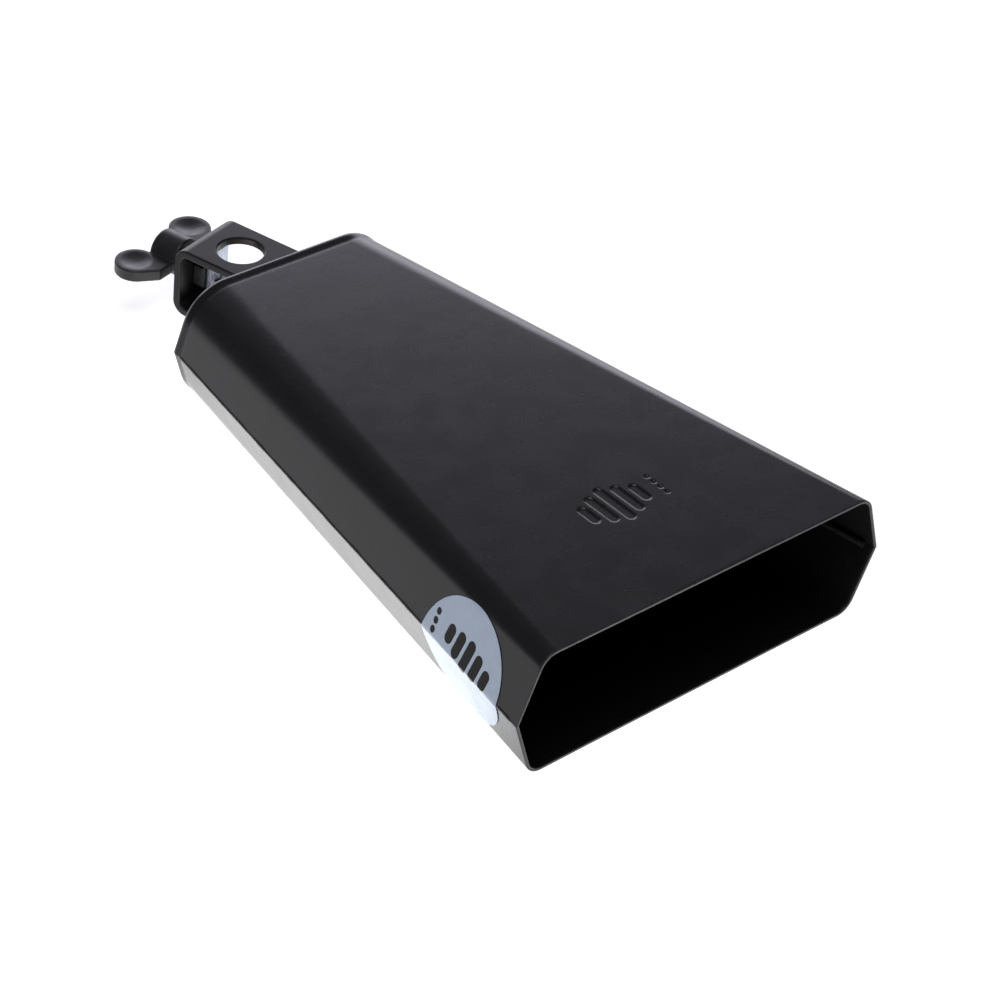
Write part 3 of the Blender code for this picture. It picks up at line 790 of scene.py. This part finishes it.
def bracket():
    """The bent strap, with worn edges and a browned wall in each rod hole."""
    outer, inner = strap_line(0.0), strap_line(STRAP_THICKNESS)
    verts = strap_ring(-STRAP_WIDTH / 2, outer, inner) + strap_ring(STRAP_WIDTH / 2, outer, inner)
    count = len(verts) // 2
    faces = [(i, (i + 1) % count, (i + 1) % count + count, i + count) for i in range(count)]
    for base in (0, count):
        for i in range(len(outer) + 1):
            faces.append((base + i, base + i + 1, base + count - 2 - i, base + count - 1 - i))
    strap = mesh_piece("bracket_look", clamp_points(verts), faces, STRAP_COAT, "bell")
    cut_holes(strap)
    mark_edges(strap, 0.6)
    strap.data.materials.append(hole_wall("hole_wall"))
    axis = CLAMP @ Vector((0, ROD_HOLE_DEPTH, 0))
    for polygon in strap.data.polygons:
        away = math.hypot(polygon.center.x - axis.x, polygon.center.y - axis.y)
        if away < ROD_HOLE_RADIUS + 0.00008 and abs(polygon.normal.z) < 0.3:
            polygon.material_index = 1
    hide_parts("clamp_bracket")


def mark_edges(piece, amount):
    """Store how convex each vertex is in the edge attribute, for rubbed edges."""
    mesh = piece.data
    bm = bmesh.new()
    bm.from_mesh(mesh)
    values = []
    for vert in bm.verts:
        sharp = 0.0
        for item in vert.link_edges:
            if len(item.link_faces) == 2:
                sharp = max(sharp, item.calc_face_angle_signed(0.0))
        values.append(min(1.0, amount * max(0.0, sharp - 0.25) / 0.5))
    bm.free()
    layer = mesh.attributes.new("edge", "FLOAT", "POINT")
    layer.data.foreach_set("value", np.asarray(values, np.float32))


def thread_radius(axial, turn):
    """Radius of the thread at a place along the stud and a share of a turn."""
    phase = (axial / THREAD_PITCH - turn) % 1.0
    ridge = min(1.0, max(0.0, 2.4 * (0.5 - abs(phase - 0.5)) - 0.05))
    lead = min(1.0, (axial - STUD_SHOULDER) / THREAD_LEAD)
    return mix(THREAD_ROOT, THREAD_RADIUS, ridge * lead)


def threaded_stud():
    """Stud with a helical thread, a turned neck and a staked tip."""
    neck = STUD_TIP + STUD_TIP_LENGTH
    plain = [(STUD_TIP, AXIS_RADIUS), (STUD_TIP, STUD_TIP_RADIUS), (neck, STUD_TIP_RADIUS),
             (neck, STUD_NECK_RADIUS), (STUD_SHOULDER, STUD_NECK_RADIUS),
             (STUD_SHOULDER, THREAD_ROOT)]
    turns = [k / STUD_SIDES for k in range(STUD_SIDES)]
    rings = [(axial, [radius] * STUD_SIDES) for axial, radius in plain]
    for axial in np.arange(STUD_SHOULDER + 0.0001, STUD_TOP, THREAD_PITCH / THREAD_STEPS):
        rings.append((axial, [thread_radius(axial, turn) for turn in turns]))
    verts = []
    for axial, sizes in rings:
        for turn, size in zip(turns, sizes):
            angle = 2 * math.pi * turn
            verts.append((size * math.cos(angle), HUB_BASE + axial, size * math.sin(angle)))
    faces = grid_faces(len(rings), STUD_SIDES, wrap=True) + tube_caps(len(rings), STUD_SIDES)
    stud = mesh_piece("stud_look", clamp_points(verts), faces,
                      bright_zinc("stud_zinc", (1, 1, 1)), "wing_screw")
    stud.data.set_sharp_from_angle(angle=SHARP_THREAD)
    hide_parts("clamp_screw")


def wing_outline():
    """The wings seen from above: a straight base and a round pad at each side."""
    corner = Vector((WING_BASE_HALF, 0))
    centre = Vector((PAD_REACH, PAD_ADVANCE))
    away = corner - centre
    start = math.atan2(away.y, away.x) + math.acos(PAD_RADIUS / away.length)
    right = [corner] + [centre + PAD_RADIUS * Vector((math.cos(a), math.sin(a)))
                        for a in np.linspace(start, math.pi, PAD_STEPS)]
    return right + [Vector((-p.x, p.y)) for p in reversed(right)]


def wing_blank():
    """The flat wings and the turned hub, as two closed forms that overlap."""
    outline = wing_outline()
    count = len(outline)
    half = WING_THICKNESS / 2
    verts = [(p.x, HUB_BASE + p.y, -half - WING_DROP) for p in outline]
    verts += [(p.x, HUB_BASE + p.y, half - WING_DROP) for p in outline]
    faces = [list(range(count)), list(range(count, 2 * count))]
    faces += [(i, (i + 1) % count, (i + 1) % count + count, i + count) for i in range(count)]
    base = len(verts)
    profile = [(0.0, AXIS_RADIUS), (0.0, HUB_RADIUS), (HUB_LENGTH - 0.0009, HUB_RADIUS),
               (HUB_LENGTH - 0.0003, HUB_RADIUS - 0.0003), (HUB_LENGTH, HUB_RADIUS - 0.0010),
               (HUB_LENGTH, AXIS_RADIUS)]
    for axial, radius in profile:
        for k in range(HUB_SIDES):
            angle = 2 * math.pi * k / HUB_SIDES
            verts.append((radius * math.cos(angle), HUB_BASE + axial, radius * math.sin(angle)))
    hub = grid_faces(len(profile), HUB_SIDES, wrap=True) + tube_caps(len(profile), HUB_SIDES)
    return verts, faces + [tuple(base + i for i in f) for f in hub]


def press_dishes(places):
    """Sink a shallow dish into both faces of each pad, in the clamp's frame."""
    for side in (-1, 1):
        away = np.hypot(places[:, 0] - side * PAD_REACH, places[:, 1] - HUB_BASE - PAD_ADVANCE)
        bowl = np.clip(1 - (away / DISH_RADIUS) ** 2, 0, 1)
        rise = places[:, 2] + WING_DROP
        facing = np.abs(rise) > WING_THICKNESS / 2 * 0.75
        places[:, 2] -= np.sign(rise) * DISH_DEPTH * bowl ** 1.4 * facing


def wing_head():
    """Hub and wings joined with moulded fillets, and a shallow dish in each pad face."""
    verts, faces = wing_blank()
    head = mesh_piece("wing_look", verts, faces, MOULDED, "wing_screw")
    remesh = head.modifiers.new("one_casting", "REMESH")
    remesh.mode = "VOXEL"
    remesh.voxel_size = CASTING_VOXEL
    smooth = head.modifiers.new("fillets", "SMOOTH")
    smooth.factor = 0.5
    smooth.iterations = CASTING_SMOOTHING
    mesh = baked(head)
    head.modifiers.clear()
    places = np.zeros(len(mesh.vertices) * 3)
    mesh.vertices.foreach_get("co", places)
    places = places.reshape(-1, 3)
    press_dishes(places)
    world = np.array(CLAMP.to_3x3()) @ places.T + np.array(CLAMP.translation)[:, None]
    mesh.vertices.foreach_set("co", world.T.ravel())
    mesh.shade_smooth()
    mesh.update()
    mesh.name = "wing_look"
    head.data = mesh
    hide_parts("wing_head")


def keep_cad(node, material, softening=0.0):
    """Give a kept CAD node its material, and round its edges if asked."""
    piece = NODES[node]
    piece.data.materials.clear()
    piece.data.materials.append(material)
    if softening:
        soften(piece, softening)


# ---------------------------------------------------------------- studio

def area_light(name, place, target, size, power, colour=(1, 1, 1)):
    """A rectangular light aimed at a target."""
    data = bpy.data.lights.new(name, "AREA")
    data.shape = "RECTANGLE"
    data.size, data.size_y = size
    data.energy = power
    data.color = colour
    lamp = bpy.data.objects.new(name, data)
    lamp.location = place
    lamp.rotation_euler = (Vector(target) - Vector(place)).to_track_quat("-Z", "Y").to_euler()
    bpy.context.scene.collection.objects.link(lamp)


def studio():
    """The table, a dim world, one light overhead and one low behind the bell."""
    floor = bpy.data.meshes.new("studio_floor")
    corners = [(x * FLOOR_HALF, y * FLOOR_HALF, FLOOR_HEIGHT)
               for x, y in ((-1, -1), (1, -1), (1, 1), (-1, 1))]
    floor.from_pydata(corners, [], [(0, 1, 2, 3)])
    floor.materials.append(studio_floor("studio_floor"))
    item = bpy.data.objects.new("studio_floor", floor)
    bpy.context.scene.collection.objects.link(item)
    world = bpy.data.worlds.new("studio_world")
    bpy.context.scene.world = world
    world.use_nodes = True
    background = world.node_tree.nodes["Background"].inputs
    background["Color"].default_value = (0.92, 0.92, 1.0, 1)
    background["Strength"].default_value = 0.10
    area_light("overhead", (-0.35, -0.25, 1.5), (0, 0, 0), (0.9, 0.9), 8)
    area_light("backdrop", (0.80, 1.40, 0.47), (0.0, 0.0, 0.05), (1.9, 0.80), 13,
               (0.97, 0.94, 1.08))
    bpy.context.scene.view_settings.view_transform = "Standard"


def photo_camera():
    """The camera at the photographed angle."""
    azimuth, elevation = math.radians(CAMERA_AZIMUTH), math.radians(CAMERA_ELEVATION)
    roll = math.radians(CAMERA_ROLL)
    level = math.cos(elevation)
    back = Vector((math.sin(azimuth) * level, -math.cos(azimuth) * level, math.sin(elevation)))
    right = Vector((math.cos(azimuth), math.sin(azimuth), 0))
    up = back.cross(right)
    turned_right = right * math.cos(roll) + up * math.sin(roll)
    turned_up = up * math.cos(roll) - right * math.sin(roll)
    data = bpy.data.cameras.new("photo_camera")
    data.lens, data.sensor_width = CAMERA_LENS, CAMERA_SENSOR
    data.shift_x, data.shift_y = CAMERA_SHIFT
    data.clip_start = 0.01
    camera = bpy.data.objects.new("photo_camera", data)
    axes = Matrix((turned_right, turned_up, back)).transposed().to_4x4()
    camera.matrix_world = Matrix.Translation(CAMERA_TARGET + back * CAMERA_DISTANCE) @ axes
    bpy.context.scene.collection.objects.link(camera)
    bpy.context.scene.camera = camera


half_shell("upper_shell", 1, True)
half_shell("lower_shell", -1, False)
seam_ridge("seam_ridge_left", -1)
seam_ridge("seam_ridge_right", 1)
label_disc()
label_print()
bracket()
bracket_weld("bracket_weld_upper", 1)
bracket_weld("bracket_weld_lower", 2)
threaded_stud()
wing_head()
for node in ("seam_weld_left", "seam_weld_right", "seam_weld_end"):
    keep_cad(node, WELD)
keep_cad("weld_nut", WELD, CAD_EDGE)
keep_cad("pressure_plate", bright_zinc("plate_zinc", (8, 8, 0.6)), CAD_EDGE)
studio()
photo_camera()
